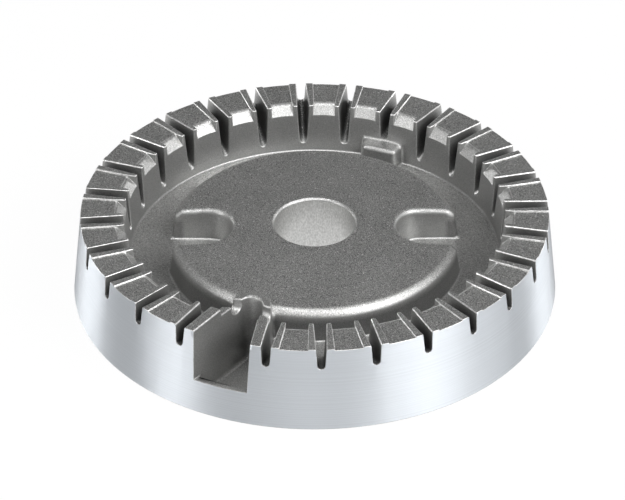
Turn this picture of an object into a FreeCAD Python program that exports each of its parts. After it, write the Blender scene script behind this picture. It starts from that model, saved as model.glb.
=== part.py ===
"""Gas burner head: one aluminium casting with a slotted flame ring round a raised island.

Frame: millimetres, +Z up, origin on the bore's axis in the base plane.
-Y is the side of the igniter notch and +Y the side of the lug opposite to it.
"""
import FreeCAD, Part
import math
import os
import re

import Sketcher
from FreeCAD import Vector

NODE = "burner_head"

SIZES = (
    ("top_radius", 50.0, "outer radius of the ring at its top"),
    ("skirt_flare", 2.0, "how far the skirt's foot stands out past the ring's top"),
    ("burner_height", 19.0, "base plane to the tops of the teeth"),
    ("skirt_wall", 2.6, "thickness of the skirt at the base plane"),
    ("skirt_lean", 1.2, "how far the skirt's inner face leans in, up to the ring's hollow"),
    ("ring_width", 9.25, "radial length of a tooth at its top"),
    ("ring_wall", 2.8, "thickness of the ring's inner wall"),
    ("ring_wall_lean", 0.85, "how far the ring's inner face leans in, down to the channel"),
    ("channel_width", 8.2, "width of the gas channel at its floor"),
    ("channel_floor_height", 7.6, "base plane to the channel floor"),
    ("floor_thickness", 2.6, "thickness of the channel floor"),
    ("island_wall", 2.6, "thickness of the island's side wall at the island's edge"),
    ("island_wall_lean", 0.85, "how far the island's side leans in, up to its edge"),
    ("island_edge_height", 14.35, "base plane to the island's top at its edge"),
    ("island_rim_height", 15.95, "base plane to the island's top at the throat"),
    ("island_roof", 2.6, "thickness of the island's top at its edge"),
    ("island_edge_flat", 1.2, "reach of the flat that breaks the island's edge, along each side"),
    ("throat_radius", 8.65, "inner radius of the central throat"),
    ("throat_rim_flat", 0.5, "reach of the flat that breaks the throat's upper rim"),
    ("throat_wall", 2.5, "thickness of the throat tube below the island"),
    ("throat_end_height", 1.0, "base plane to the lower end of the throat tube"),
    ("slot_pitch", 13.0, "degrees from one flame slot to the next"),
    ("slots_each_side", 13, "flame slots on each side of the lug's slot"),
    ("slot_bottom_radius", 0.8, "radius of a slot's rounded bottom"),
    ("slot_draft", 3.9, "degrees that each side of a slot leans out"),
    ("slot_outer_depth", 4.8, "depth of a slot at the ring's outer top edge"),
    ("slot_inner_depth", 9.15, "depth of a slot at the ring's inner top edge"),
    ("slot_floor", 2.6, "metal left between the slots' inner ends and the ring's hollow"),
    ("lug_slot_inner_depth", 6.55, "depth of the slot over the lug, at its inner end"),
    ("pad_drop", 0.28, "depth of a tooth's pad below the lips beside it"),
    ("pad_length", 7.5, "radial length of a tooth's pad"),
    ("pad_outer_width", 5.9, "width of a pad at the ring's outer edge"),
    ("pad_inner_width", 4.75, "width of a pad at its inner end, and of the bevel there"),
    ("bevel_angle", 48.0, "degrees that the bevel falls from the pad's inner end"),
    ("bay_angle", 22.5, "degrees from +X to the axis of the island's two bays"),
    ("bay_run", 8.3, "island's foot in to the centre of a bay's round end"),
    ("bay_radius", 6.0, "radius of a bay's round end, half of its width"),
    ("bay_wall", 2.4, "thickness of the wall round a bay, below the island"),
    ("notch_setback", 2.9, "island's foot out to the centre of the notch's round end"),
    ("notch_end_radius", 2.55, "radius of the notch's round end"),
    ("notch_flare", 13.6, "degrees that each side of the notch opens outward"),
    ("notch_floor_height", 2.7, "base plane to the floor of the notch"),
    ("notch_floor_thickness", 2.2, "thickness of that floor"),
    ("notch_wall", 1.75, "thickness of the wall round the notch, at its top"),
    ("notch_wall_drop", 1.5, "depth of that wall's top below the tooth tops"),
    ("notch_wall_draft", 1.5, "degrees of draft on the outside of that wall"),
    ("sill_height", 7.5, "base plane to the sill across the notch's mouth"),
    ("sill_thickness", 1.5, "thickness of the sill at its top"),
    ("port_angle", 73.0, "degrees from the notch's axis to each of its side ports"),
    ("port_radius", 1.35, "radius of a port's rounded bottom, half of its width"),
    ("port_depth", 2.4, "depth of a port below the top of the notch's wall"),
    ("lug_front_width", 8.0, "width of the lug's top at its front"),
    ("lug_back_width", 9.4, "width of the lug's top at the ring's inner wall"),
    ("lug_reach", 4.05, "how far the lug stands in from the ring's inner top edge"),
    ("lug_height", 12.0, "base plane to the top of the lug"),
    ("wall_draft", 3.0, "degrees of draft on the bays, the notch and the lug"),
    ("joint_overlap", 0.6, "how far an added wall runs into the metal that carries it"),
    ("overshoot", 2.0, "how far a cut runs on past the metal"),
)

BASE_RADIUS = "(top_radius + skirt_flare)"
RING_INNER = "(top_radius - ring_width)"
RING_FOOT = "(top_radius - ring_width - ring_wall_lean)"
ISLAND_FOOT = "(top_radius - ring_width - ring_wall_lean - channel_width)"
ISLAND_EDGE = f"({ISLAND_FOOT} - island_wall_lean)"
FLOOR_UNDERSIDE = "(channel_floor_height - floor_thickness)"
ROOF_UNDERSIDE = "(island_edge_height - island_roof)"
RING_HOLLOW_INNER = f"({RING_FOOT} + ring_wall)"
RING_HOLLOW_OUTER = f"({BASE_RADIUS} - skirt_wall - skirt_lean)"
HOLLOW_ROOF = "(burner_height - slot_inner_depth - slot_floor)"
BAY_END = f"({ISLAND_FOOT} - bay_run)"
NOTCH_END = f"({ISLAND_FOOT} + notch_setback)"
NOTCH_WALL_TOP = "(burner_height - notch_wall_drop)"
LUG_AZIMUTH = "90"
NOTCH_AZIMUTH = "-90"
BAY_AZIMUTHS = {"right": "bay_angle", "left": "bay_angle + 180"}
LEAST_CHANGE = 0.01  # cubic millimetres that each feature adds or removes at least


def make_sheet(doc):
    """Write the driving dimensions into the document's spreadsheet."""
    sheet = doc.addObject("Spreadsheet::Sheet", "Sizes")
    for row, (name, value, meaning) in enumerate(SIZES, start=1):
        sheet.set(f"A{row}", name)
        sheet.set(f"B{row}", str(value))
        sheet.set(f"C{row}", meaning)
        sheet.setAlias(f"B{row}", name)
    doc.recompute()
    return sheet


NAMES = re.compile(r"\b(" + "|".join(name for name, _, _ in SIZES) + r")\b")


def cells(text):
    """Turn the size names in a formula into references to the sheet's cells."""
    return NAMES.sub(r"Sizes.\1", text)


def bind(item, prop, formula):
    """Tie one property of an object to a formula in the sheet's sizes."""
    item.setExpression(prop, cells(formula))


def placement(shift, axis, angle):
    """Formula of a placement from its shift, the axis that it turns about and the angle."""
    turn = f"create(<<rotation>>; create(<<vector>>; {axis}); {angle})"
    return f"create(<<placement>>; create(<<vector>>; {shift}); {turn})"


class Casting:
    """The body of the burner head, with the helpers that draw and cut it."""

    def __init__(self, doc, sheet):
        self.doc = doc
        self.sheet = sheet
        self.body = doc.addObject("PartDesign::Body", NODE)
        self.body.Label = NODE

    def value(self, formula):
        """Number that a formula gives with the sheet's sizes."""
        return float(self.sheet.evalExpression(formula))

    def origin(self, role):
        """Plane or axis of the body's origin."""
        return next(item for item in self.body.Origin.OriginFeatures if item.Role == role)

    def sketch(self, name, plane="XY_Plane"):
        """New sketch on one of the body's origin planes."""
        sketch = self.body.newObject("Sketcher::SketchObject", name)
        sketch.AttachmentSupport = (self.origin(plane), [""])
        sketch.MapMode = "FlatFace"
        return sketch

    def seat(self, sketch, azimuth, radius="0", height="0", turn="0", tilt="0"):
        """Place a sketch at an azimuth, radius and height, turned and then tilted there.

        Untilted, the sketch's X axis points outward. A tilt of -90 points it up.
        """
        steps = (
            placement("0; 0; 0", "0; 0; 1", azimuth),
            placement(f"{radius}; 0; {height}", "0; 0; 1", turn),
            placement("0; 0; 0", "0; 1; 0", tilt),
        )
        bind(sketch, "AttachmentOffset", " * ".join(steps))

    def pin(self, sketch, line, end, across, along):
        """Hold one end of a line at two formulas, measured from the sketch's origin."""
        for kind, axis, formula in (("DistanceX", -2, across), ("DistanceY", -1, along)):
            if formula == "0":
                sketch.addConstraint(Sketcher.Constraint("PointOnObject", line, end, axis))
                continue
            rule = Sketcher.Constraint(kind, -1, 1, line, end, self.value(formula))
            index = sketch.addConstraint(rule)
            bind(sketch, f"Constraints[{index}]", formula)

    def outline(self, sketch, corners):
        """Closed outline of straight lines through corners given as pairs of formulas."""
        points = [Vector(self.value(x), self.value(y), 0) for x, y in corners]
        count = len(points)
        for i in range(count):
            sketch.addGeometry(Part.LineSegment(points[i], points[(i + 1) % count]))
        for i in range(count):
            sketch.addConstraint(Sketcher.Constraint("Coincident", (i - 1) % count, 2, i, 1))
            self.pin(sketch, i, 1, *corners[i])

    def taper(self, sketch, start, start_half, end, end_half):
        """Outline symmetric about the sketch's X axis, from one half width to another."""
        corners = (
            (start, f"-({start_half})"),
            (end, f"-({end_half})"),
            (end, end_half),
            (start, start_half),
        )
        self.outline(sketch, corners)

    def trough(self, sketch, centre, radius, flare, reach):
        """U shape open along the sketch's +X, from a round end out to a circle of radius reach.

        The sides are tangent to the round end and each leans out by the flare. The far end
        is an arc about the sketch's origin.
        """
        offset = f"({radius} - {centre} * sin({flare}))"
        run = f"sqrt(({reach})^2 - {offset}^2)"
        along = f"{run} * cos({flare}) - {offset} * sin({flare})"
        across = f"{offset} * cos({flare}) + {run} * sin({flare})"
        lean = math.radians(self.value(flare))
        far_angle = math.atan2(self.value(across), self.value(along))
        hub, up = Vector(self.value(centre), 0, 0), Vector(0, 0, 1)
        near_circle = Part.Circle(hub, up, self.value(radius))
        far_circle = Part.Circle(Vector(0, 0, 0), up, self.value(reach))
        near = Part.ArcOfCircle(near_circle, math.pi / 2 + lean, math.pi * 3 / 2 - lean)
        far = Part.ArcOfCircle(far_circle, -far_angle, far_angle)
        sketch.addGeometry(near)
        sketch.addGeometry(Part.LineSegment(near.EndPoint, far.StartPoint))
        sketch.addGeometry(far)
        sketch.addGeometry(Part.LineSegment(far.EndPoint, near.StartPoint))
        sketch.addConstraint(Sketcher.Constraint("Tangent", 0, 2, 1, 1))
        sketch.addConstraint(Sketcher.Constraint("Coincident", 1, 2, 2, 1))
        sketch.addConstraint(Sketcher.Constraint("Coincident", 2, 2, 3, 1))
        sketch.addConstraint(Sketcher.Constraint("Tangent", 3, 2, 0, 1))
        sketch.addConstraint(Sketcher.Constraint("Coincident", 2, 3, -1, 1))
        size = sketch.addConstraint(Sketcher.Constraint("Radius", 0, self.value(radius)))
        bind(sketch, f"Constraints[{size}]", radius)
        self.pin(sketch, 0, 3, centre, "0")
        self.pin(sketch, 2, 2, along, across)
        sketch.addConstraint(Sketcher.Constraint("Symmetric", 2, 1, 2, 2, -1))

    def revolve(self, kind, name, sketch):
        """Revolution or groove of a sketch round the bore's axis."""
        before = self.volume()
        feature = self.body.newObject(f"PartDesign::{kind}", name)
        feature.Profile = sketch
        feature.ReferenceAxis = (sketch, ["V_Axis"])
        feature.Angle = 360
        self.doc.recompute()
        self.expect_change(feature, before)

    def extrude(self, kind, name, sketch, length, draft="0", reverse=False):
        """Pad or pocket of a sketch. It must change the casting's volume."""
        before = self.volume()
        feature = self.body.newObject(f"PartDesign::{kind}", name)
        feature.Profile = sketch
        feature.Reversed = reverse
        bind(feature, "Length", length)
        bind(feature, "TaperAngle", draft)
        self.doc.recompute()
        self.expect_change(feature, before)
        return feature

    def repeat(self, name, feature, count, pitch, reverse=False):
        """Copies of a feature round the bore's axis."""
        before = self.volume()
        pattern = self.body.newObject("PartDesign::PolarPattern", name)
        pattern.Originals = [feature]
        pattern.Axis = (self.origin("Z_Axis"), [""])
        pattern.Reversed = reverse
        bind(pattern, "Occurrences", count)
        bind(pattern, "Angle", f"({count} - 1) * {pitch}")
        self.body.Tip = pattern
        self.doc.recompute()
        self.expect_change(pattern, before)
        return pattern

    def volume(self):
        """Volume of the casting so far."""
        tip = self.body.Tip
        return tip.Shape.Volume if tip else 0.0

    def expect_change(self, feature, before):
        """Stop if a feature failed or left the casting as it was."""
        if "Invalid" in feature.State or "Error" in feature.State or feature.Shape.isNull():
            raise RuntimeError(f"{feature.Name} failed")
        if abs(feature.Shape.Volume - before) < LEAST_CHANGE:
            raise RuntimeError(f"{feature.Name} changed nothing")


def cast_rings(casting):
    """Everything that is round about the bore: ring, channel, island, throat and skirt."""
    sketch = casting.sketch("section", "XZ_Plane")
    side_lean = "(island_wall_lean / (island_edge_height - channel_floor_height))"
    top_rise = f"((island_rim_height - island_edge_height) / ({ISLAND_EDGE} - throat_radius))"
    corners = (
        (BASE_RADIUS, "0"),
        ("top_radius", "burner_height"),
        (RING_INNER, "burner_height"),
        (RING_FOOT, "channel_floor_height"),
        (ISLAND_FOOT, "channel_floor_height"),
        (f"{ISLAND_EDGE} + island_edge_flat * {side_lean}", "island_edge_height - island_edge_flat"),
        (f"{ISLAND_EDGE} - island_edge_flat", f"island_edge_height + island_edge_flat * {top_rise}"),
        ("throat_radius + throat_rim_flat", f"island_rim_height - throat_rim_flat * {top_rise}"),
        ("throat_radius", "island_rim_height - throat_rim_flat"),
        ("throat_radius", "throat_end_height"),
        ("throat_radius + throat_wall", "throat_end_height"),
        ("throat_radius + throat_wall", ROOF_UNDERSIDE),
        (f"{ISLAND_EDGE} - island_wall", ROOF_UNDERSIDE),
        (f"{ISLAND_EDGE} - island_wall", FLOOR_UNDERSIDE),
        (RING_HOLLOW_INNER, FLOOR_UNDERSIDE),
        (RING_HOLLOW_INNER, HOLLOW_ROOF),
        (RING_HOLLOW_OUTER, HOLLOW_ROOF),
        (f"{BASE_RADIUS} - skirt_wall", "0"),
    )
    casting.outline(sketch, corners)
    casting.revolve("Revolution", "rings", sketch)


def cut_bays(casting):
    """Two U-shaped bays in the island, open to the channel, walled off from below."""
    for side, azimuth in BAY_AZIMUTHS.items():
        sketch = casting.sketch(f"{side}_bay_walls")
        casting.seat(sketch, azimuth, height=FLOOR_UNDERSIDE)
        reach = f"{ISLAND_EDGE} - island_wall + joint_overlap"
        casting.trough(sketch, BAY_END, "(bay_radius + bay_wall)", "0", reach)
        rise = f"{ROOF_UNDERSIDE} - {FLOOR_UNDERSIDE} + joint_overlap"
        casting.extrude("Pad", f"{side}_bay_box", sketch, rise)
    for side, azimuth in BAY_AZIMUTHS.items():
        sketch = casting.sketch(f"{side}_bay_outline")
        casting.seat(sketch, azimuth, height="island_rim_height")
        reach = f"{ISLAND_FOOT} + overshoot"
        casting.trough(sketch, BAY_END, "bay_radius", "0", reach)
        depth = "island_rim_height - channel_floor_height"
        casting.extrude("Pocket", f"{side}_bay", sketch, depth, draft="-wall_draft")


def add_notch(casting):
    """Walled notch for the igniter: a deep pocket behind a sill, with two side ports."""
    walls = casting.sketch("notch_walls")
    casting.seat(walls, NOTCH_AZIMUTH, height=NOTCH_WALL_TOP)
    outside = "(notch_end_radius + notch_wall)"
    casting.trough(walls, NOTCH_END, outside, "notch_flare", BASE_RADIUS)
    drop = f"{NOTCH_WALL_TOP} - notch_floor_height + notch_floor_thickness"
    casting.extrude("Pad", "notch_box", walls, drop, draft="notch_wall_draft", reverse=True)

    trim_skirt(casting)

    skirt_at_sill = f"{BASE_RADIUS} - skirt_flare * sill_height / burner_height"
    lean = "(burner_height - sill_height) * tan(wall_draft)"
    reaches = {
        "notch_pocket": (f"{skirt_at_sill} - sill_thickness + {lean}", "notch_floor_height"),
        "notch_mouth": (f"{BASE_RADIUS} + overshoot", "sill_height"),
    }
    for name, (reach, bottom) in reaches.items():
        sketch = casting.sketch(f"{name}_outline")
        casting.seat(sketch, NOTCH_AZIMUTH, height="burner_height")
        casting.trough(sketch, NOTCH_END, "notch_end_radius", "notch_flare", reach)
        depth = f"burner_height - {bottom}"
        casting.extrude("Pocket", name, sketch, depth, draft="-wall_draft")

    for side, turn in (("right", "port_angle"), ("left", "-port_angle")):
        sketch = casting.sketch(f"{side}_port_outline")
        bottom = f"{NOTCH_WALL_TOP} - port_depth"
        casting.seat(sketch, NOTCH_AZIMUTH, NOTCH_END, bottom, turn, "-90")
        casting.trough(sketch, "port_radius", "port_radius", "0", "port_depth + overshoot")
        casting.extrude("Pocket", f"{side}_port", sketch, f"{outside} + overshoot")


def trim_skirt(casting):
    """Cut off what stands out past the skirt's outer face."""
    sketch = casting.sketch("skirt_outside", "XZ_Plane")
    corners = (
        (BASE_RADIUS, "0"),
        (f"{BASE_RADIUS} + overshoot", "0"),
        (f"{BASE_RADIUS} + overshoot", "burner_height"),
        ("top_radius", "burner_height"),
    )
    casting.outline(sketch, corners)
    casting.revolve("Groove", "skirt_trim", sketch)


def cut_slots(casting):
    """Flame slots whose rounded bottoms climb outward, one pattern on each side of the lug."""
    length = f"{BASE_RADIUS} + overshoot - {RING_FOOT} + slot_inner_depth"
    slots = {
        "lug_slot": (LUG_AZIMUTH, "lug_slot_inner_depth"),
        "left_slot": (f"{LUG_AZIMUTH} + slot_pitch", "slot_inner_depth"),
        "right_slot": (f"{LUG_AZIMUTH} - slot_pitch", "slot_inner_depth"),
    }
    for name, (azimuth, inner_depth) in slots.items():
        fall = f"(({inner_depth} - slot_outer_depth) / ring_width)"
        bottom = f"burner_height - {inner_depth} - ring_wall_lean * {fall}"
        sketch = casting.sketch(f"{name}_outline")
        casting.seat(sketch, azimuth, RING_FOOT, bottom, tilt=f"-(90 deg + atan({fall}))")
        reach = "slot_inner_depth + overshoot"
        casting.trough(sketch, "slot_bottom_radius", "slot_bottom_radius", "slot_draft", reach)
        slot = casting.extrude("Pocket", name, sketch, length)
        if name != "lug_slot":
            reverse = name == "right_slot"
            casting.repeat(f"{name}s", slot, "slots_each_side", "slot_pitch", reverse)


def add_lug(casting):
    """Lug on the ring's inner wall, under the shallow slot."""
    sketch = casting.sketch("lug_outline")
    casting.seat(sketch, LUG_AZIMUTH, height="lug_height")
    back = f"{RING_INNER} + joint_overlap"
    casting.taper(sketch, back, "lug_back_width / 2", f"{RING_INNER} - lug_reach", "lug_front_width / 2")
    depth = "lug_height - channel_floor_height + joint_overlap"
    casting.extrude("Pad", "lug", sketch, depth, draft="wall_draft", reverse=True)


def shape_teeth(casting):
    """Sunk pad and inner bevel on every tooth, between two lips at full height.

    The bevel's sketch starts pad_drop above the pad, where the pad's own cut has cleared the metal.
    """
    first = f"{LUG_AZIMUTH} - (slots_each_side - 0.5) * slot_pitch"
    pad_end = "(top_radius - pad_length)"
    growth = "((pad_outer_width - pad_inner_width) / pad_length)"
    far = f"{BASE_RADIUS} + overshoot"
    far_half = f"(pad_inner_width + ({far} - {pad_end}) * {growth}) / 2"
    inner_half = "pad_inner_width / 2"

    pad = casting.sketch("pad_outline")
    casting.seat(pad, first, height="burner_height")
    casting.taper(pad, pad_end, inner_half, far, far_half)
    pad_cut = casting.extrude("Pocket", "pad", pad, "pad_drop")
    casting.repeat("pads", pad_cut, "slots_each_side * 2", "slot_pitch")

    bevel = casting.sketch("bevel_outline")
    casting.seat(bevel, first, pad_end, "burner_height - pad_drop", tilt="-bevel_angle")
    fall = "(ring_width - pad_length) / cos(bevel_angle)"
    casting.taper(bevel, f"-({fall} + overshoot)", inner_half, "pad_drop", inner_half)
    bevel_cut = casting.extrude("Pocket", "bevel", bevel, "ring_width", reverse=True)
    casting.repeat("bevels", bevel_cut, "slots_each_side * 2", "slot_pitch")


def check(doc, casting):
    """Stop unless every object is sound and the casting is one valid solid."""
    for item in doc.Objects:
        if "Invalid" in item.State or "Error" in item.State:
            raise RuntimeError(f"{item.Name} is {item.State}")
    shape = casting.body.Shape
    if shape.isNull() or not shape.isValid() or len(shape.Solids) != 1:
        raise RuntimeError(f"{NODE} is not one valid solid")


def build():
    """Make the document and the casting in it."""
    doc = FreeCAD.newDocument("burner")
    casting = Casting(doc, make_sheet(doc))
    cast_rings(casting)
    cut_bays(casting)
    add_notch(casting)
    add_lug(casting)
    cut_slots(casting)
    shape_teeth(casting)
    doc.recompute()
    check(doc, casting)
    return casting


casting = build()
os.makedirs("parts", exist_ok=True)
casting.body.Shape.exportStep(f"parts/{casting.body.Label}.step")
print(f"{NODE}: {casting.body.Shape.Volume:.0f} cubic mm, {len(casting.body.Shape.Faces)} faces")
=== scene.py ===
"""The burner head as a finished casting: rounded edges, blasted grey skin, turned rim, lighter throat.

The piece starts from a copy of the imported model's mesh. Its sharp edges get the radii that the die
and the turning tool leave, and its faces get the finish of the tool that made them.
Casting sizes are in millimetres. Blender's own lengths are in metres.
"""

import math

import bmesh
import bpy
from mathutils import Matrix, Vector
from mathutils.bvhtree import BVHTree
from mathutils.kdtree import KDTree


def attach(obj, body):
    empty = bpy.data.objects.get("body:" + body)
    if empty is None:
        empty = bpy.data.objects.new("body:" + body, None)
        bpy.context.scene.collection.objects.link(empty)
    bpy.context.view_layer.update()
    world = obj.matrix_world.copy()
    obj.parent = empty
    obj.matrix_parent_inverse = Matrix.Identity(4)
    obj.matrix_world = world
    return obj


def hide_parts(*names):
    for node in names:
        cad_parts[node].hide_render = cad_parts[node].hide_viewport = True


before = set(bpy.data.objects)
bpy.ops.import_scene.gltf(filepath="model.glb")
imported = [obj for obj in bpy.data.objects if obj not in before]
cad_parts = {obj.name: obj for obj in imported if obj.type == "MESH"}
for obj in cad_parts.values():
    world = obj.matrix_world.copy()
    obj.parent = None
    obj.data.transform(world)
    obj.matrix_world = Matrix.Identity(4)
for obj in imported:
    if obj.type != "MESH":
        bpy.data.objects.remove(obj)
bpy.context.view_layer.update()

MM = 0.001
NODE = "burner_head"
UP = Vector((0, 0, 1))

# Heights above the base plane
UNDERSIDE_TOP = 1.1
NOTCH_FLOOR = 2.7
CHANNEL_FLOOR = 7.6
SILL_TOP = 7.7
LUG_TOP = 12.1
ISLAND_FLATS = (13.15, 14.44)
BEVEL_FOOT = 15.72
PAD_TOP = 18.72
RING_TOP = 19.0

# Distances from the bore's axis
BORE_OUTSIDE = 8.7
THROAT_RIM_OUTSIDE = 9.65
ISLAND_FLAT_INSIDE = 29.4
NOTCH_INSIDE = 29.5
ISLAND_FOOT = 31.7
LUG_FRONT = 36.0
LUG_ROOT = 39.4
PAD_END = 42.5
SILL_INSIDE = 47.0
RIM_FACE_INSIDE = 49.4
RIM_EDGE_INSIDE = 49.7

# Directions from the bore's axis and half angles, in degrees
NOTCH_AZIMUTH = -90.0
NOTCH_HALF_ANGLE = 14.0
LUG_AZIMUTH = 90.0
LUG_HALF_ANGLE = 8.0
SLOT_PITCH = 13.0

# How far a place may be from the one that it is compared with
SLACK = 0.08
ISLAND_FLAT_SLACK = 0.1
PAD_END_SLACK = 0.2
PAD_HALF_WIDTH = 3.2
UPRIGHT_RISE = 0.5

# Radius that each kind of edge is rounded to
EDGE_RADII = {
    "turned": 0.12,
    "cast": 0.34,
    "pad_side": 0.19,
    "pad_foot": 0.07,
    "pad_end": 1.4,
    "bevel_corner": 0.14,
    "channel_foot": 0.55,
    "notch_foot": 0.9,
    "notch_blend": 1.0,
    "notch_edge": 0.4,
    "sill": 0.35,
    "lug": 1.2,
    "lug_corner": 0.7,
    "island_edge": 0.75,
    "bay_edge": 1.0,
    "throat_rim": 0.3,
    "underside_foot": 0.5,
    "underside_edge": 0.3,
}
WIDEST_ROUNDING = 1.2
ROUNDING_STEPS = 4

# Limits for preparing the mesh and for mending it after the roundings
SHARP = math.radians(25)
SAME_PLANE = math.radians(0.2)
CORNER_TURN = math.radians(20)
LEAST_SINE = 0.5
SAME_POINT = 0.002
FLATNESS = 0.01
LOOK_UP_FROM = 0.02
MARK_SPACING = 0.5
CLEARANCE = 1.6
WIDEST_FOLD = 1.2
FOLD_PASSES = 6
THINNEST_FACE = 0.001


def polar(point):
    """Distance from the bore's axis, azimuth in degrees and height of a point."""
    return math.hypot(point.x, point.y) / MM, math.degrees(math.atan2(point.y, point.x)), point.z / MM


def near(value, target, slack=SLACK):
    """Whether two sizes agree within the slack."""
    return abs(value - target) < slack


def middle(edge):
    """Point half way along an edge."""
    return (edge.verts[0].co + edge.verts[1].co) / 2


def off_tooth(radius, azimuth):
    """Distance of a point from the centre line of its tooth."""
    turn = (azimuth - LUG_AZIMUTH) % SLOT_PITCH - SLOT_PITCH / 2
    return abs(radius * math.sin(math.radians(turn)))


def edge_kind(edge, covered):
    """Name of the rounding that an edge gets, from its place and from what lies above it."""
    radius, azimuth, height = polar(middle(edge))
    low, high = sorted(vert.co.z / MM for vert in edge.verts)
    level = near(low, high)
    hollow = not edge.is_convex
    if covered or height < UNDERSIDE_TOP:
        return "underside_foot" if hollow else "underside_edge"
    if radius > RIM_EDGE_INSIDE:
        return "turned"
    if hollow and level and near(height, CHANNEL_FLOOR):
        return "channel_foot"
    if hollow and level and near(height, NOTCH_FLOOR):
        return "notch_foot"
    if abs(azimuth - NOTCH_AZIMUTH) < NOTCH_HALF_ANGLE and radius > NOTCH_INSIDE:
        return notch_edge_kind(radius, height, hollow, high - low)
    if abs(azimuth - LUG_AZIMUTH) < LUG_HALF_ANGLE and LUG_FRONT < radius and high < LUG_TOP:
        if hollow or radius < LUG_ROOT:
            return "lug_corner" if hollow else "lug"
    if radius < THROAT_RIM_OUTSIDE:
        return "throat_rim"
    if radius < ISLAND_FOOT:
        on_flat = any(near(height, flat, ISLAND_FLAT_SLACK) for flat in ISLAND_FLATS)
        return "island_edge" if level and on_flat and radius > ISLAND_FLAT_INSIDE else "bay_edge"
    if level and near(height, PAD_TOP):
        return "pad_end" if near(radius, PAD_END, PAD_END_SLACK) else "pad_foot"
    if hollow and height > BEVEL_FOOT:
        return "bevel_corner"
    if near(height, RING_TOP) and off_tooth(radius, azimuth) < PAD_HALF_WIDTH:
        return "pad_side"
    return "cast"


def notch_edge_kind(radius, height, hollow, rise):
    """Name of the rounding for an edge of the notch's walls, sill and ports."""
    if hollow and rise > UPRIGHT_RISE:
        return "notch_blend"
    if height < SILL_TOP and radius > SILL_INSIDE:
        return "sill"
    return "notch_edge"


def sort_edges(bm):
    """Every sharp edge of the casting with the name of its rounding."""
    tree = BVHTree.FromBMesh(bm)
    kinds = {}
    for edge in bm.edges:
        if edge.calc_face_angle(0) < SHARP:
            continue
        outward = (edge.link_faces[0].normal + edge.link_faces[1].normal).normalized()
        above = tree.ray_cast(middle(edge) + (outward + UP) * LOOK_UP_FROM * MM, UP)
        kinds[edge] = edge_kind(edge, above[0] is not None)
    return kinds


def reach(edge, kind):
    """How far from an edge its rounding begins."""
    return EDGE_RADII[kind] * math.tan(edge.calc_face_angle() / 2) * MM


def clear_way(bm, kinds):
    """Dissolve the smooth vertices that stand where an edge's rounding is to go."""
    marks = []
    for edge, kind in kinds.items():
        start, end = (vert.co for vert in edge.verts)
        parts = math.ceil(edge.calc_length() / (MARK_SPACING * MM))
        marks += [(start.lerp(end, i / parts), EDGE_RADII[kind]) for i in range(parts + 1)]
    tree = KDTree(len(marks))
    for i, (point, _) in enumerate(marks):
        tree.insert(point, i)
    tree.balance()
    on_edge = {vert for edge in kinds for vert in edge.verts}
    crowded = []
    for vert in bm.verts:
        found = tree.find_range(vert.co, CLEARANCE * WIDEST_ROUNDING * MM)
        if vert not in on_edge and any(gap < CLEARANCE * marks[i][1] * MM for _, i, gap in found):
            crowded.append(vert)
    bmesh.ops.dissolve_verts(bm, verts=crowded)


def gather_corners(bm, kinds):
    """Weld into each corner the vertices along its edges that its rounding would overrun."""
    sharp_at = {}
    for edge in kinds:
        for vert in edge.verts:
            sharp_at.setdefault(vert, []).append(edge)

    def is_corner(vert):
        if len(sharp_at[vert]) != 2:
            return True
        first, second = (edge.other_vert(vert).co - vert.co for edge in sharp_at[vert])
        return first.angle(-second) > CORNER_TURN

    welds = {}
    for corner in filter(is_corner, sharp_at):
        for edge in sharp_at[corner]:
            along = edge.other_vert(corner).co - corner.co
            others = [(reach(other, kinds[other]), along.angle(other.other_vert(corner).co - corner.co))
                      for other in sharp_at[corner] if other is not edge]
            overrun = max((size / max(math.sin(turn), LEAST_SINE) for size, turn in others), default=0)
            vert, step = edge.other_vert(corner), edge
            while not is_corner(vert) and (vert.co - corner.co).length < overrun:
                welds.setdefault(vert, corner)
                step = next(other for other in sharp_at[vert] if other is not step)
                vert = step.other_vert(vert)
    bmesh.ops.weld_verts(bm, targetmap=welds)


def is_flat(face):
    """Whether all corners of a face lie in its plane."""
    centre = face.calc_center_median()
    return all(abs((vert.co - centre).dot(face.normal)) < FLATNESS * MM for vert in face.verts)


def packed_copy():
    """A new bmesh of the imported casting."""
    bm = bmesh.new()
    bm.from_mesh(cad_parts[NODE].data)
    return bm


def merge_flat_faces(bm):
    """Dissolve the edges and vertices that lie within a plane face."""
    bmesh.ops.dissolve_limit(bm, angle_limit=SAME_PLANE, verts=bm.verts, edges=bm.edges)


def weighted_mesh():
    """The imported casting's mesh, merged, with a bevel weight on every sharp edge."""
    bm = packed_copy()
    bmesh.ops.remove_doubles(bm, verts=bm.verts, dist=SAME_POINT * MM)
    weights = bm.edges.layers.float.new("bevel_weight_edge")
    kinds = sort_edges(bm)
    for edge, kind in kinds.items():
        edge[weights] = min(reach(edge, kind) / (WIDEST_ROUNDING * MM), 1)
    clear_way(bm, kinds)
    gather_corners(bm, kinds)
    merge_flat_faces(bm)
    bmesh.ops.triangulate(bm, faces=[face for face in bm.faces if not is_flat(face)])
    mesh = bpy.data.meshes.new("casting")
    bm.to_mesh(mesh)
    bm.free()
    return mesh


def press_out_folds(bm):
    """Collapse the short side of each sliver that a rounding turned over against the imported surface."""
    packed = packed_copy()
    surface = BVHTree.FromBMesh(packed)
    packed.free()
    for _ in range(FOLD_PASSES):
        short_sides = {}
        for face in bm.faces:
            _, outward, _, _ = surface.find_nearest(face.calc_center_median())
            side = min(face.edges, key=lambda edge: edge.calc_length())
            if face.normal.dot(outward) < 0 and side.calc_length() < WIDEST_FOLD * MM:
                short_sides[side] = True
        bmesh.ops.collapse(bm, edges=list(short_sides))
        bmesh.ops.dissolve_degenerate(bm, edges=bm.edges, dist=THINNEST_FACE * MM)
        bmesh.ops.triangulate(bm, faces=bm.faces)


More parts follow.
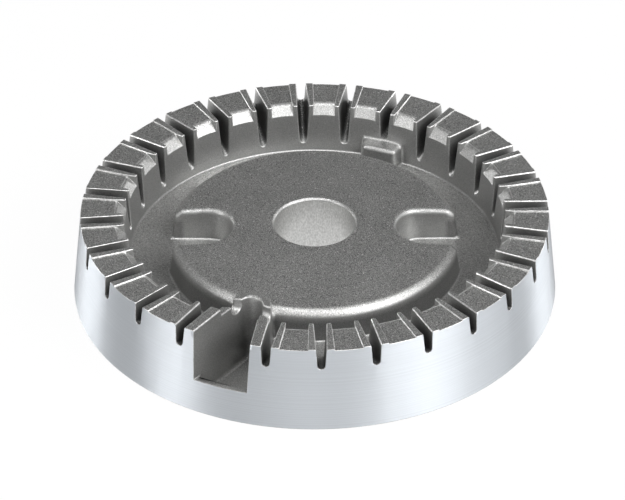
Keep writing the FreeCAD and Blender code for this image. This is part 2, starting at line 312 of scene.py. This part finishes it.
def round_edges(casting):
    """Bevel the weighted edges, mend what folded and put the result in the casting's mesh."""
    rounding = casting.modifiers.new("rounding", "BEVEL")
    rounding.limit_method = "WEIGHT"
    rounding.width = WIDEST_ROUNDING * MM
    rounding.segments = ROUNDING_STEPS
    rounding.use_clamp_overlap = False
    rounding.loop_slide = False
    bm = bmesh.new()
    bm.from_object(casting, bpy.context.evaluated_depsgraph_get())
    casting.modifiers.remove(rounding)
    bmesh.ops.triangulate(bm, faces=bm.faces)
    press_out_folds(bm)
    merge_flat_faces(bm)
    bm.to_mesh(casting.data)
    bm.free()


def make_casting():
    """The casting with rounded edges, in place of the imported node."""
    casting = bpy.data.objects.new("casting", weighted_mesh())
    bpy.context.scene.collection.objects.link(casting)
    round_edges(casting)
    for face in casting.data.polygons:
        face.use_smooth = True
    shading = casting.modifiers.new("shading", "WEIGHTED_NORMAL")
    shading.keep_sharp = True
    paint_faces(casting)
    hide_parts(NODE)
    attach(casting, "root")


# Which faces get which finish: how squarely they face out or in, and how far down the lips' edges with
# their painted highlight reach
SQUARELY = 0.9
LIP_HIGHLIGHT_ABOVE = 18.58
LIP_HIGHLIGHT_SLOPE = (0.12, 0.97)


def finish_of(face):
    """Place in the list of materials of the finish that a face gets."""
    radius, _, height = polar(face.center)
    outward = Vector((face.center.x, face.center.y, 0)).normalized().dot(face.normal)
    if radius > RIM_FACE_INSIDE and outward > SQUARELY:
        return FINISHES.index(turned_metal)
    if radius < BORE_OUTSIDE and outward < -SQUARELY:
        return FINISHES.index(bored_metal)
    # the lips' top edges get a lighter colour as a painted highlight
    if height > LIP_HIGHLIGHT_ABOVE and LIP_HIGHLIGHT_SLOPE[0] < face.normal.z < LIP_HIGHLIGHT_SLOPE[1]:
        return FINISHES.index(highlighted_lip_metal)
    return FINISHES.index(cast_metal)


def paint_faces(casting):
    """Give every face of the casting the finish of its place."""
    for finish in FINISHES:
        casting.data.materials.append(finish())
    for face in casting.data.polygons:
        face.material_index = finish_of(face)


# Places of a Mix node's two inputs and its output, for numbers and for colours
MIX_SOCKETS = {"FLOAT": (2, 3, 0), "RGBA": (6, 7, 2)}


class Nodes:
    """Short way to add and join the nodes of one material."""

    def __init__(self, name, **shader):
        self.material = bpy.data.materials.new(name)
        self.material.use_nodes = True
        self.tree = self.material.node_tree
        self.shader = self.tree.nodes["Principled BSDF"]
        for socket, value in shader.items():
            self.shader.inputs[socket.replace("_", " ").title()].default_value = value

    def add(self, kind, **settings):
        """New node with its properties set by name."""
        node = self.tree.nodes.new(f"ShaderNode{kind}")
        for name, value in settings.items():
            setattr(node, name, value)
        return node

    def join(self, source, target):
        """Link an output socket to an input socket."""
        self.tree.links.new(source, target)

    def drive(self, socket, source):
        """Link an output socket to an input of the shader."""
        self.join(source, self.shader.inputs[socket])

    def place(self, cells=None):
        """The piece's own coordinates, or so many cells per metre along each axis of them."""
        place = self.add("TexCoord").outputs["Object"]
        if cells is None:
            return place
        node = self.add("Mapping")
        node.inputs["Scale"].default_value = cells
        self.join(place, node.inputs["Vector"])
        return node.outputs["Vector"]

    def noise(self, place, scale, detail):
        """Noise between 0 and 1 with so many cells per unit of place."""
        node = self.add("TexNoise")
        node.inputs["Scale"].default_value = scale
        node.inputs["Detail"].default_value = detail
        self.join(place, node.inputs["Vector"])
        return node.outputs["Fac"]

    def remap(self, value, given, wanted=(0.0, 1.0)):
        """Value moved from one range to another and held inside it."""
        node = self.add("MapRange")
        for socket, bound in zip(("From Min", "From Max", "To Min", "To Max"), (*given, *wanted)):
            node.inputs[socket].default_value = bound
        self.join(value, node.inputs["Value"])
        return node.outputs["Result"]

    def ramp(self, value, stops, colours):
        """Colour between two colours, which stand at two stops of the value."""
        node = self.add("ValToRGB")
        for element, stop, colour in zip(node.color_ramp.elements, stops, colours):
            element.position = stop
            element.color = (*colour, 1)
        self.join(value, node.inputs["Fac"])
        return node.outputs["Color"]

    def reckon(self, operation, *values):
        """Result of one Math operation on two or more values, taken in turn."""
        result, *others = values
        for value in others:
            node = self.add("Math", operation=operation)
            for source, socket in zip((result, value), node.inputs):
                if isinstance(source, float):
                    socket.default_value = source
                else:
                    self.join(source, socket)
            result = node.outputs["Value"]
        return result

    def blend(self, factor, low, high, kind="FLOAT"):
        """Number or colour between two others, of which a colour may be a constant."""
        node = self.add("Mix", data_type=kind)
        self.join(factor, node.inputs["Factor"])
        *sockets, result = MIX_SOCKETS[kind]
        for source, socket in zip((low, high), sockets):
            if isinstance(source, tuple):
                node.inputs[socket].default_value = source
            else:
                self.join(source, node.inputs[socket])
        return node.outputs[result]

    def emboss(self, height, strength, depth, under=None):
        """Bump in the skin, with its depth in millimetres, over the shape's own normal or another one."""
        node = self.add("Bump")
        if under:
            self.join(under, node.inputs["Normal"])
        node.inputs["Strength"].default_value = strength
        node.inputs["Distance"].default_value = depth * MM
        self.join(height, node.inputs["Height"])
        self.drive("Normal", node.outputs["Normal"])


# The middle of a noise's values, where most of them lie
NOISE_SPAN = (0.3, 0.7)

# Cast skin: colours, where its tones lie in the grain's noise, and cells per metre of its noises
CAST_COLOURS = ((0.16, 0.16, 0.156), (0.72, 0.72, 0.71))
CAST_STOPS = (0.34, 0.68)
SPECK = (0.95, 0.95, 0.94)
SPECK_SPAN = (0.65, 0.71)
CLOUD_DRIFT = (0.92, 1.08)
GRAIN_PER_METRE = 5200
SPECKS_PER_METRE = 3600
CLOUDS_PER_METRE = 90

# Painted shade in recesses: how far round a point the casting is looked for, the span of that cover and
# the darkest tone; where the shot reached: height, slope, and what is left of the grain elsewhere
RECESS_SHADE_DISTANCE = 6.0
RECESS_SHADE_SPAN = (0.15, 0.6)
RECESS_PAINTED_SHADE_TONE = 0.25
BLASTED_SLOPE = (0.5, 0.9)
BLASTED_HEIGHTS = (12.0, 13.0)
CHANNEL_BLASTING = 0.45
CALM_GRAIN = (0.35, 0.65)
BLASTED_ROUGHNESS = (0.49, 0.42)
CALM_ROUGHNESS = (0.42, 0.38)

# The island's flank, darkened as painted shade, and the edges of the island and its bays, which are
# softer
FLANK_BAND = (28.5, 32.3)
FLANK_HEIGHTS = (11.6, 12.6)
FLANK_PAINTED_SHADE = 0.6
EDGE_BAND = (14.0, 32.0)
EDGE_HEIGHTS = (11.0, 12.0)
EDGE_SOFTNESS = 1.6
BAND_FADE = 1.0
SHADER_SAMPLES = 8

# Edges of the lips, painted lighter as a highlight
LIP_HIGHLIGHT_COLOURS = ((0.52, 0.52, 0.51), (0.86, 0.86, 0.85))
LIP_HIGHLIGHT_STOPS = (0.3, 0.6)
LIP_HIGHLIGHT_ROUGHNESS = (0.38, 0.28)
LIP_HIGHLIGHT_NOISE_PER_METRE = 1500

# The throat's wall
BORED_COLOURS = ((0.49, 0.49, 0.48), (0.74, 0.74, 0.73))
BORED_STOPS = (0.32, 0.7)
BORED_ROUGHNESS = (0.38, 0.28)
BORED_CELLS = (3600, 3600, 1800)

# The turned rim
TURNED_COLOURS = ((0.592, 0.62, 0.651), (0.694, 0.727, 0.763))
TURNED_ROUGHNESS = (0.46, 0.54)
TURNED_CELLS = (3, 3, 7000)


def in_metres(sizes):
    """A range of millimetres as one of metres."""
    return tuple(size * MM for size in sizes)


def place_on_casting(nodes):
    """Distance from the bore's axis and height above the base, in metres."""
    parts = nodes.add("SeparateXYZ")
    nodes.join(nodes.place(), parts.inputs["Vector"])
    around = nodes.add("CombineXYZ")
    nodes.join(parts.outputs["X"], around.inputs["X"])
    nodes.join(parts.outputs["Y"], around.inputs["Y"])
    distance = nodes.add("VectorMath", operation="LENGTH")
    nodes.join(around.outputs["Vector"], distance.inputs["Vector"])
    return distance.outputs["Value"], parts.outputs["Z"]


def in_band(nodes, distance, band):
    """1 between two distances from the bore's axis and 0 elsewhere."""
    inner, outer = band
    inside = nodes.remap(distance, in_metres((inner, inner + BAND_FADE)))
    outside = nodes.remap(distance, in_metres((outer, outer + BAND_FADE)), (1.0, 0.0))
    return nodes.reckon("MULTIPLY", inside, outside)


def soft_island_edge(nodes):
    """Normal that runs evenly over the edges of the island and its bays, which are rounded most."""
    distance, height = place_on_casting(nodes)
    raised = nodes.remap(height, in_metres(EDGE_HEIGHTS), (0.0, EDGE_SOFTNESS * MM))
    bevel = nodes.add("Bevel", samples=SHADER_SAMPLES)
    radius = nodes.reckon("MULTIPLY", in_band(nodes, distance, EDGE_BAND), raised)
    nodes.join(radius, bevel.inputs["Radius"])
    return bevel.outputs["Normal"]


def blasting(nodes):
    """How much the shot roughened the skin, most on raised faces that look up, and the painted shade on
    the island's flank.
    """
    distance, height = place_on_casting(nodes)
    parts = nodes.add("SeparateXYZ")
    nodes.join(nodes.add("TexCoord").outputs["Normal"], parts.inputs["Vector"])
    level = nodes.remap(parts.outputs["Z"], BLASTED_SLOPE)
    steep = nodes.remap(parts.outputs["Z"], BLASTED_SLOPE, (1.0, 0.0))
    raised = nodes.remap(height, in_metres(BLASTED_HEIGHTS), (CHANNEL_BLASTING, 1.0))
    low = nodes.remap(height, in_metres(FLANK_HEIGHTS), (1.0, 0.0))
    # painted shade: the island's steep, low flank is darkened
    flank = nodes.reckon("MULTIPLY", in_band(nodes, distance, FLANK_BAND), steep, low)
    return nodes.reckon("MULTIPLY", level, raised), nodes.remap(flank, (0.0, 1.0), (1.0, FLANK_PAINTED_SHADE))


def painted_recess_shade(nodes):
    """Painted shade: the skin's tone, darker the more the casting round a point hems it in."""
    occlusion = nodes.add("AmbientOcclusion", samples=SHADER_SAMPLES, only_local=True)
    occlusion.inputs["Distance"].default_value = RECESS_SHADE_DISTANCE * MM
    return nodes.remap(occlusion.outputs["AO"], RECESS_SHADE_SPAN, (RECESS_PAINTED_SHADE_TONE, 1.0))


def cast_metal():
    """Shot-blasted aluminium: grey, dimpled, with bright specks, and painted shade in recesses and on the
    island's flank.
    """
    nodes = Nodes("cast_aluminium", metallic=0.8)
    place = nodes.place()
    blasted, flank = blasting(nodes)
    full_grain = nodes.noise(place, GRAIN_PER_METRE, detail=2.0)
    grain = nodes.blend(blasted, nodes.remap(full_grain, (0.0, 1.0), CALM_GRAIN), full_grain)
    drift = nodes.remap(nodes.noise(place, CLOUDS_PER_METRE, detail=3.0), NOISE_SPAN, CLOUD_DRIFT)
    shade = nodes.add("VectorMath", operation="SCALE")
    nodes.join(nodes.ramp(grain, CAST_STOPS, CAST_COLOURS), shade.inputs["Vector"])
    # the skin's colour is darkened by painted shade in recesses and on the island's flank
    nodes.join(nodes.reckon("MULTIPLY", drift, painted_recess_shade(nodes), flank), shade.inputs["Scale"])
    specks = nodes.remap(nodes.noise(place, SPECKS_PER_METRE, detail=1.0), SPECK_SPAN)
    sparkle = nodes.reckon("MULTIPLY", specks, blasted)
    nodes.drive("Base Color", nodes.blend(sparkle, shade.outputs["Vector"], (*SPECK, 1), "RGBA"))
    calm = nodes.remap(full_grain, NOISE_SPAN, CALM_ROUGHNESS)
    rough = nodes.remap(full_grain, NOISE_SPAN, BLASTED_ROUGHNESS)
    nodes.drive("Roughness", nodes.blend(blasted, calm, rough))
    nodes.emboss(grain, strength=0.45, depth=0.05, under=soft_island_edge(nodes))
    return nodes.material


def highlighted_lip_metal():
    """Edges of the lips that the cap rests on: the same metal, painted lighter as a highlight."""
    nodes = Nodes("highlighted_lip_aluminium", metallic=0.8)
    lip_mottle = nodes.noise(nodes.place(), LIP_HIGHLIGHT_NOISE_PER_METRE, detail=2.0)
    # lighter colour along the lips' edges: painted highlight
    nodes.drive("Base Color", nodes.ramp(lip_mottle, LIP_HIGHLIGHT_STOPS, LIP_HIGHLIGHT_COLOURS))
    nodes.drive("Roughness", nodes.remap(lip_mottle, NOISE_SPAN, LIP_HIGHLIGHT_ROUGHNESS))
    return nodes.material


def bored_metal():
    """The throat's wall: lighter than the skin, with the drawn marks of the core."""
    nodes = Nodes("bored_aluminium", metallic=0.9)
    marks = nodes.noise(nodes.place(BORED_CELLS), 1.0, detail=4.0)
    nodes.drive("Base Color", nodes.ramp(marks, BORED_STOPS, BORED_COLOURS))
    nodes.drive("Roughness", nodes.remap(marks, NOISE_SPAN, BORED_ROUGHNESS))
    nodes.emboss(marks, strength=0.4, depth=0.08)
    return nodes.material


def turned_metal():
    """Turned aluminium: bright, with fine lines round the axis."""
    nodes = Nodes("turned_aluminium", metallic=1.0, anisotropic=0.95, anisotropic_rotation=0.25)
    lines = nodes.noise(nodes.place(TURNED_CELLS), 1.0, detail=2.0)
    nodes.drive("Base Color", nodes.ramp(lines, NOISE_SPAN, TURNED_COLOURS))
    nodes.drive("Roughness", nodes.remap(lines, NOISE_SPAN, TURNED_ROUGHNESS))
    nodes.emboss(lines, strength=0.1, depth=0.02)
    nodes.drive("Tangent", nodes.add("Tangent", direction_type="RADIAL", axis="Z").outputs["Tangent"])
    return nodes.material


FINISHES = (cast_metal, turned_metal, bored_metal, highlighted_lip_metal)

# The photograph's camera: its place was fitted to the ring's outlines
PHOTO_WIDTH = 625
CAMERA_DISTANCE = 0.806399
CAMERA_ELEVATION = math.radians(34.6624)
CAMERA_TURN = math.radians(22.5)
CAMERA_AIM = (-0.000588768, -0.01064939)
CAMERA_ROLL = math.radians(-0.12638)
FOCAL_PIXELS = 3775.88
SENSOR_WIDTH = 36.0


def aim_camera():
    """Camera at the photograph's viewing angle, which looks along +Y turned by the camera's turn."""
    turn = Matrix.Rotation(CAMERA_TURN, 3, "Z")
    ahead = Vector((0, math.cos(CAMERA_ELEVATION), -math.sin(CAMERA_ELEVATION)))
    across = Vector((1, 0, 0))
    place = UP * RING_TOP * MM - turn @ ahead * CAMERA_DISTANCE
    aim = (ahead + across * CAMERA_AIM[0] + across.cross(ahead) * CAMERA_AIM[1]).normalized()
    across = aim.cross(UP).normalized()
    facing = Matrix((across, across.cross(aim), -aim)).transposed()
    facing = turn @ facing @ Matrix.Rotation(CAMERA_ROLL, 3, "Z")
    data = bpy.data.cameras.new("photo_camera")
    data.sensor_fit = "HORIZONTAL"
    data.sensor_width = SENSOR_WIDTH
    data.lens = FOCAL_PIXELS * SENSOR_WIDTH / PHOTO_WIDTH
    data.clip_start = 0.01
    camera = bpy.data.objects.new("photo_camera", data)
    bpy.context.scene.collection.objects.link(camera)
    camera.matrix_world = Matrix.Translation(place) @ facing.to_4x4()
    bpy.context.scene.camera = camera


# Softboxes: name, azimuth from the camera's side and elevation in degrees, edge length, power in watts
SOFTBOXES = (
    ("key", 54, 45, 0.75, 10.0),
    ("key_low", 54, 20, 0.4, 0.7),
    ("overhead", -25, 72, 0.5, 4.3),
    ("above_camera", 5, 50, 0.5, 1.3),
    ("right", 88, 30, 0.35, 1.6),
    ("left", -66, 40, 0.35, 2.0),
    ("left_low", -66, 20, 0.3, 2.0),
    ("far_left", -118, 8, 0.4, 2.8),
    ("far_right", 120, 8, 0.4, 2.6),
)
SOFTBOX_DISTANCE = 1.1
WORLD_GREY = (0.02, 0.02, 0.02, 1)


def add_softbox(name, azimuth, elevation, size, power):
    """Square area lamp aimed at the casting."""
    lamp = bpy.data.lights.new(name, "AREA")
    lamp.size = size
    lamp.energy = power
    turn = math.radians(azimuth - 90) + CAMERA_TURN
    rise = math.radians(elevation)
    away = Vector((math.cos(turn) * math.cos(rise), math.sin(turn) * math.cos(rise), math.sin(rise)))
    holder = bpy.data.objects.new(name, lamp)
    bpy.context.scene.collection.objects.link(holder)
    holder.location = away * SOFTBOX_DISTANCE
    holder.rotation_euler = (-away).to_track_quat("-Z", "Y").to_euler()


def light_studio():
    """Soft white light from all round, strongest from the camera's right, and a plain grey world."""
    for softbox in SOFTBOXES:
        add_softbox(*softbox)
    world = bpy.data.worlds.new("studio")
    world.use_nodes = True
    world.node_tree.nodes["Background"].inputs["Color"].default_value = WORLD_GREY
    bpy.context.scene.world = world


# Sizes of the studio in metres, and how white its floor and backdrop are to the camera and in the metal
FLOOR_SIZE = 3
BACKDROP_RADIUS = 2.8
BACKDROP_HEIGHT = 0.45
BACKDROP_SIDES = 96
STUDIO_GREY = (0.9, 0.9, 0.9, 1)
STUDIO_WHITE = 0.95


def studio_white():
    """Matt pale surface that the camera and the metal see nearly white, and that keeps a shadow."""
    nodes = Nodes("pale_floor", base_color=STUDIO_GREY, roughness=0.8)
    rays = nodes.add("LightPath").outputs
    seen = nodes.reckon("MAXIMUM", rays["Is Camera Ray"], rays["Is Glossy Ray"])
    blend = nodes.add("MixShader")
    factor, matt, glowing = blend.inputs
    nodes.join(nodes.reckon("MULTIPLY", seen, STUDIO_WHITE), factor)
    nodes.join(nodes.shader.outputs["BSDF"], matt)
    nodes.join(nodes.add("Emission").outputs["Emission"], glowing)
    nodes.join(blend.outputs["Shader"], nodes.tree.nodes["Material Output"].inputs["Surface"])
    return nodes.material


def stage(name, bm, material):
    """Add a shape that belongs to the studio and not to the casting."""
    mesh = bpy.data.meshes.new(name)
    bm.to_mesh(mesh)
    bm.free()
    mesh.materials.append(material)
    shape = bpy.data.objects.new(name, mesh)
    bpy.context.scene.collection.objects.link(shape)


def lay_floor():
    """Plain pale floor with a low round backdrop of the same stuff."""
    material = studio_white()
    floor = bmesh.new()
    bmesh.ops.create_grid(floor, x_segments=1, y_segments=1, size=FLOOR_SIZE)
    stage("floor", floor, material)
    backdrop = bmesh.new()
    bmesh.ops.create_cone(backdrop, segments=BACKDROP_SIDES, radius1=BACKDROP_RADIUS,
                          radius2=BACKDROP_RADIUS, depth=BACKDROP_HEIGHT)
    bmesh.ops.translate(backdrop, verts=backdrop.verts, vec=(0, 0, BACKDROP_HEIGHT / 2))
    stage("backdrop", backdrop, material)


aim_camera()
light_studio()
lay_floor()
make_casting()
bpy.context.scene.view_settings.view_transform = "Standard"
